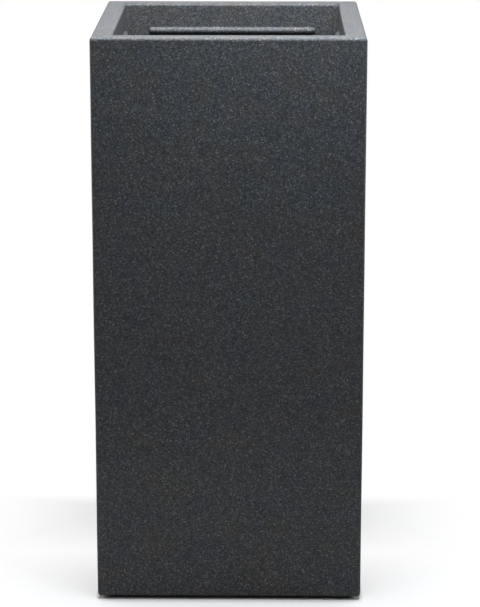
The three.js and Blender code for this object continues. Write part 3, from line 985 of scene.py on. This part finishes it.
def hole_grid_tree():
    """What goes in, repeated in straight rows."""
    tree, given = start_geometry_tree(
        "rows_of_holes", Geometry="Geometry", Rows="Int", Pitch="Float", Material="Material",
    )
    rows = given["Rows"]
    gaps = add(tree, "ShaderNodeMath", {0: rows, 1: 1.0}, operation="SUBTRACT")
    side = add(tree, "ShaderNodeMath", {0: gaps, 1: given["Pitch"]}, operation="MULTIPLY")
    grid = add(
        tree, "GeometryNodeMeshGrid",
        {"Size X": side, "Size Y": side, "Vertices X": rows, "Vertices Y": rows},
    )
    copies = add(tree, "GeometryNodeInstanceOnPoints", {"Points": grid, "Instance": given["Geometry"]})
    end_geometry_tree(tree, copies, given["Material"])
    return tree


def shelf_ring(inset, height):
    width = shelf_high.x - shelf_low.x
    depth = shelf_high.y - shelf_low.y
    radius = shelf_corner_radius - inset
    return rounded_ring(
        width - 2 * inset, depth - 2 * inset, radius, height, corner_steps=8, side_steps=4,
    )


def slot_ring(middle_x, height):
    """A finger slot's outline at one height."""
    ring = rounded_ring(
        finger_slot_width, finger_slot_length, finger_slot_width * slot_end_share, height,
        corner_steps=12, side_steps=3,
    )
    return [Vector((middle_x, 0, 0)) + point for point in ring]


def rib_shape(low, high):
    """A straight rib between two corners of a box, with its edges eased."""
    shape = bmesh.new()
    low, high = Vector(low), Vector(high)
    place = Matrix.Translation((low + high) / 2) @ Matrix.Diagonal((*(high - low), 1))
    bmesh.ops.create_cube(shape, size=1, matrix=place)
    bmesh.ops.bevel(
        shape, geom=shape.edges[:], offset=rib_edge_radius, segments=2, affect="EDGES", profile=0.5,
    )
    return shape


shelf_plate_bottom = shelf_high.z - shelf_thickness
lip_round = shelf_edge_radius / 2
shelf_profile = [
    (shelf_lip_thickness + shelf_edge_radius, shelf_plate_bottom),
    (shelf_lip_thickness, shelf_plate_bottom - shelf_edge_radius),
    *arc_points(shelf_lip_thickness - lip_round, shelf_low.z + lip_round, lip_round, 0, -90, 4),
    *arc_points(lip_round, shelf_low.z + lip_round, lip_round, 270, 180, 4),
    *arc_points(shelf_edge_radius, shelf_high.z - shelf_edge_radius, shelf_edge_radius, 180, 90, 6),
]
shelf_mesh = mesh_of("plate", loft([shelf_ring(inset, height) for inset, height in shelf_profile]))
slot_reach = shelf_high.x - shelf_lip_thickness - finger_slot_margin - finger_slot_width / 2
rib_reach = hole_pitch * hole_rows / 2
rib_end = shelf_high.x - shelf_lip_thickness / 2
rib_bottom = shelf_plate_bottom - rib_drop
rib_top = shelf_high.z - shelf_thickness / 2
for row in range(hole_rows + 1):
    offset = (row - hole_rows / 2) * hole_pitch
    outermost = row in (0, hole_rows)
    long_reach = rib_end if outermost else rib_reach
    low_side, high_side = offset - rib_thickness / 2, offset + rib_thickness / 2
    across_rib = rib_shape((-long_reach, low_side, rib_bottom), (long_reach, high_side, rib_top))
    along_rib = rib_shape((low_side, -rib_end, rib_bottom), (high_side, rib_end, rib_top))
    for rib in (across_rib, along_rib):
        shelf_mesh = combine(shelf_mesh, "UNION", mesh_of("rib", rib))
cutter_ends = (shelf_plate_bottom - cutter_overrun, shelf_high.z + cutter_overrun)
hole = turned([(hole_radius, height) for height in cutter_ends], 32)
plastic = grained_polypropylene()
hole_values = {"Rows": hole_rows, "Pitch": hole_pitch, "Material": plastic}
holes = grown_mesh(hole_grid_tree(), hole_values, mesh_of("hole", hole))
shelf_mesh = combine(shelf_mesh, "DIFFERENCE", holes)
for middle_x in (-slot_reach, slot_reach):
    finger_slot = loft([slot_ring(middle_x, height) for height in cutter_ends])
    shelf_mesh = combine(shelf_mesh, "DIFFERENCE", mesh_of("finger_slot", finger_slot))
shelf = make_piece("moulded_shelf", shape_of(shelf_mesh), plastic)
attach(shelf, "shelf")
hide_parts("planting_shelf")


# ---- Floor, lights and camera ----
# A plain pale floor under plain soft light from above, with white behind. The camera is where the
# photograph was taken from, as near as a small shift allows.

floor_radius = 6.0
floor_grey = (0.6, 0.6, 0.6, 1)
# How white the floor's glow is at the planter's edge, and how far out its painted fade of the shadow
# reaches.
edge_white = 0.45
white_reach = 0.23
ahead_pace = 4.0
contact_reach = (4 * MM, 12 * MM, 1)
sky_fill = 0.08
cool_light = (0.92, 0.98, 1.06)
warm_light = (1.06, 0.99, 0.9)


def make_softbox(name, place, target, size, power, colour=(1, 1, 1), turn_degrees=0):
    """A lamp that the camera doesn't see, aimed at a point, both turned round from the planter's front."""
    lamp = bpy.data.lights.new(name, "AREA")
    lamp.shape = "RECTANGLE"
    lamp.size, lamp.size_y = size
    lamp.energy = power
    lamp.color = colour
    holder = put_in_scene(name, lamp)
    turn = Matrix.Rotation(math.radians(turn_degrees), 3, "Z")
    start, end = turn @ Vector(place), turn @ Vector(target)
    holder.location = start
    holder.rotation_euler = (end - start).to_track_quat("-Z", "Y").to_euler()
    holder.visible_camera = False


def seen_ray(tree):
    """1 for what the camera sees, straight on, in a reflection or through glass, else 0."""
    path = add(tree, "ShaderNodeLightPath").outputs
    seen = path["Is Camera Ray"]
    for kind in ("Is Glossy Ray", "Is Transmission Ray"):
        seen = add(tree, "ShaderNodeMath", {0: seen, 1: path[kind]}, operation="MAXIMUM")
    return seen


make_softbox("overhead_softbox", (0, 0, 1.3), (0, 0, rim_top), (0.9, 0.28), 25)
make_softbox("forward_softbox", (0, -0.25, 1.45), (0, 0, rim_top), (0.3, 0.3), 8, cool_light)
make_softbox(
    "front_softbox", (0.15, -0.45, 1.05), (0.05, shell_low.y, 0.6), (0.6, 0.25), 4.6, cool_light,
)
make_softbox("low_softbox", (-0.1, -0.5, 0.4), (-0.1, -0.68, 0), (0.7, 0.12), 1.3, warm_light)
for side_name in ("right", "back", "left"):
    make_softbox(
        side_name + "_softbox", (0, -0.75, 0.5), (0, 0, 0.4), (0.4, 0.5), 3,
        turn_degrees=SIDES[side_name],
    )

world = bpy.data.worlds.new("studio")
bpy.context.scene.world = world
world.use_nodes = True
sky_tree = world.node_tree
sky_level = add(sky_tree, "ShaderNodeMapRange", {0: seen_ray(sky_tree), 3: sky_fill, 4: 1.0})
feed(sky_tree, sky_tree.nodes["Background"], {"Color": (1, 1, 1, 1), "Strength": sky_level})

floor_shape = bmesh.new()
bmesh.ops.create_circle(floor_shape, cap_ends=True, segments=96, radius=floor_radius)
floor_material, tree, surface, place = start_material("pale_studio_floor")
feed(tree, surface, {"Base Color": floor_grey, "Roughness": 0.9, "Specular IOR Level": 0.0})
# The floor glows white to the camera and in reflections. The glow is weaker near the planter, so its real
# shade shows there, and where that shadow fades out is painted by this mask. The white grows sideways and,
# faster, away from the front and back edges.
apart = add(tree, "ShaderNodeVectorMath", {0: place}, operation="ABSOLUTE")
past_sides = add(tree, "ShaderNodeVectorMath", {0: apart, 1: shell_high}, operation="SUBTRACT")
past = add(tree, "ShaderNodeSeparateXYZ", {0: past_sides}).outputs
ahead = add(tree, "ShaderNodeMath", {0: past["Y"], 1: ahead_pace}, operation="MULTIPLY")
beside = add(tree, "ShaderNodeMath", {0: past["Y"], 1: -1.0}, operation="MULTIPLY")
from_edge = add(tree, "ShaderNodeMath", {0: ahead, 1: beside}, operation="MAXIMUM")
reach = add(tree, "ShaderNodeMath", {0: past["X"], 1: from_edge}, operation="MAXIMUM")
whiteness = add(
    tree, "ShaderNodeMapRange", {0: reach, 2: white_reach, 3: edge_white, 4: 1.0},
    interpolation_type="SMOOTHSTEP",
)
# It gives way to real shade at and under the planter.
in_reaches = add(tree, "ShaderNodeVectorMath", {0: past_sides, 1: contact_reach}, operation="DIVIDE")
near = add(tree, "ShaderNodeSeparateXYZ", {0: in_reaches}).outputs
outside = add(tree, "ShaderNodeMath", {0: near["X"], 1: near["Y"]}, operation="MAXIMUM")
shown_white = add(tree, "ShaderNodeMapRange", {0: outside}, interpolation_type="SMOOTHSTEP")
for share in (whiteness, seen_ray(tree)):
    shown_white = add(tree, "ShaderNodeMath", {0: shown_white, 1: share}, operation="MULTIPLY")
white = add(tree, "ShaderNodeEmission", {"Color": (1, 1, 1, 1), "Strength": 1.0})
floor_mix = add(tree, "ShaderNodeMixShader", {0: shown_white, 1: surface, 2: white})
feed(tree, tree.nodes["Material Output"], {"Surface": floor_mix})
floor = make_piece("studio_floor", floor_shape, floor_material)

# The photograph's frame is 480 by 607 pixels, and its long side spans the camera's sensor.
photo_height_px = 607
focal_length_px = 2251.1
shift_px = 67
look_down_degrees = 13.585
look_left_degrees = 0.633
camera_data = bpy.data.cameras.new("photo_camera")
camera_data.sensor_width = 36
camera_data.lens = focal_length_px * camera_data.sensor_width / photo_height_px
camera_data.shift_y = -shift_px / photo_height_px
camera = put_in_scene("photo_camera", camera_data)
camera.location = (0.043, -2.805, 1.1075)
camera.rotation_euler = (math.radians(90 - look_down_degrees), 0, math.radians(look_left_degrees))
bpy.context.scene.camera = camera

bpy.context.scene.view_settings.view_transform = "Standard"
